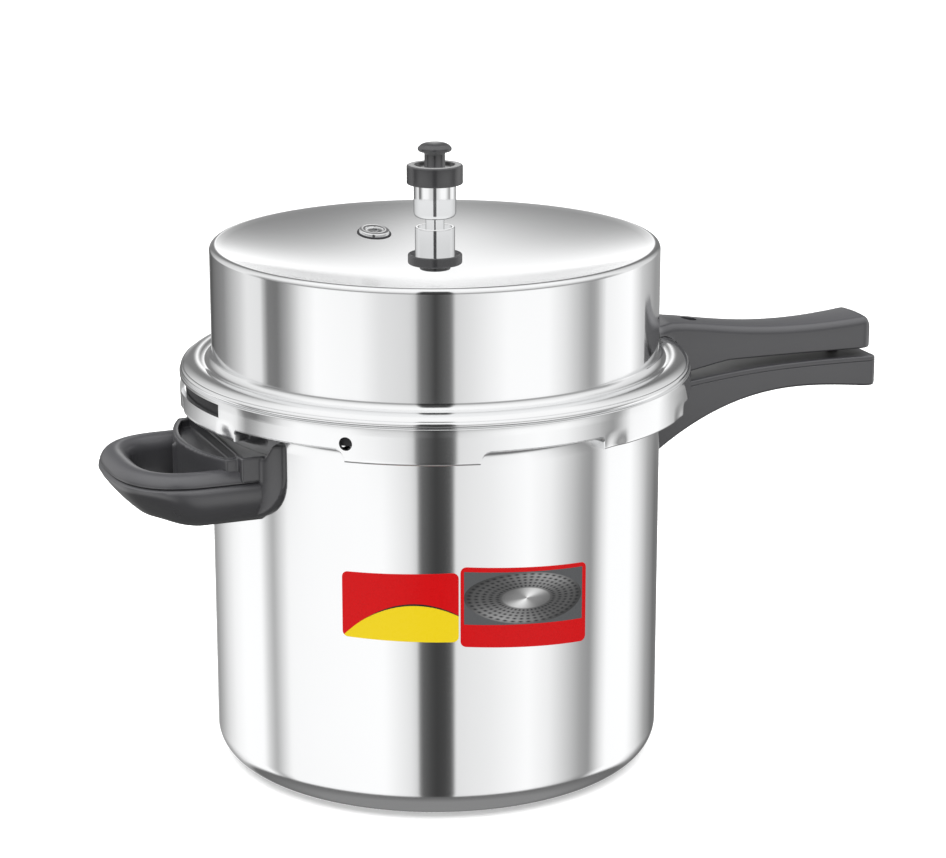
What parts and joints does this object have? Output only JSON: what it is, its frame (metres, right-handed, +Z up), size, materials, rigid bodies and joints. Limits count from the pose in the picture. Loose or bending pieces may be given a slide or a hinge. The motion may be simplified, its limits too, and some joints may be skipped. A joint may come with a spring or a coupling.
{
  "type": "stovetop pressure cooker",
  "caption": "Deep aluminium stovetop pressure cooker with a bayonet lid, two long side handles, a loop helper handle, a safety plug and a lift-off regulator weight.",
  "frame": {"origin": "centre of the base disc's underside, where the pot stands on the stove", "axes": "+Z up along the pot's axis; +X along the two long handles, -X through the helper handle"},
  "size_m": [0.462, 0.2836, 0.3466],
  "materials": {
    "aluminium": "polished drawn aluminium",
    "steel": "plain steel",
    "chrome": "bright chrome plate",
    "phenolic": "satin moulded phenolic",
    "rubber": "soft moulded rubber",
    "sticker_left": "printed vinyl, red over yellow",
    "sticker_right": "printed vinyl, red with a grey panel",
    "fuse": "low-melting alloy"
  },
  "bodies": {
    "pot": {"pot_body": "aluminium", "base_plate": "steel", "label_left": "sticker_left", "label_right": "sticker_right", "body_bracket": "steel", "body_bracket_rivets": "steel", "body_handle": "phenolic", "body_handle_screw": "steel", "helper_bracket": "steel", "helper_bracket_rivets": "steel", "helper_handle": "phenolic", "helper_screw": "steel"},
    "lid": {"lid_shell": "aluminium", "gasket": "rubber", "lid_bracket": "steel", "lid_bracket_rivets": "steel", "lid_handle": "phenolic", "lid_handle_screw": "steel", "plug_body": "chrome", "plug_fuse": "fuse", "plug_washer": "rubber", "plug_nut": "steel", "vent_tube": "steel", "vent_washer": "rubber", "vent_nut": "steel", "vent_base": "phenolic", "vent_cup": "chrome"},
    "weight": {"weight_needle": "steel", "weight_body": "chrome", "weight_collar": "phenolic", "weight_knob": "phenolic", "weight_screw": "steel"}
  },
  "joints": [
    {"name": "lid_turn", "type": "hinge", "parent": "pot", "child": "lid", "pos_m": [0, 0, 0.2], "axis": [0, 0, 1], "range_deg": [-30, 0]},
    {"name": "regulator_lift", "type": "slide", "parent": "lid", "child": "weight", "axis": [0, 0, 1], "range_m": [0, 0.03]}
  ]
}
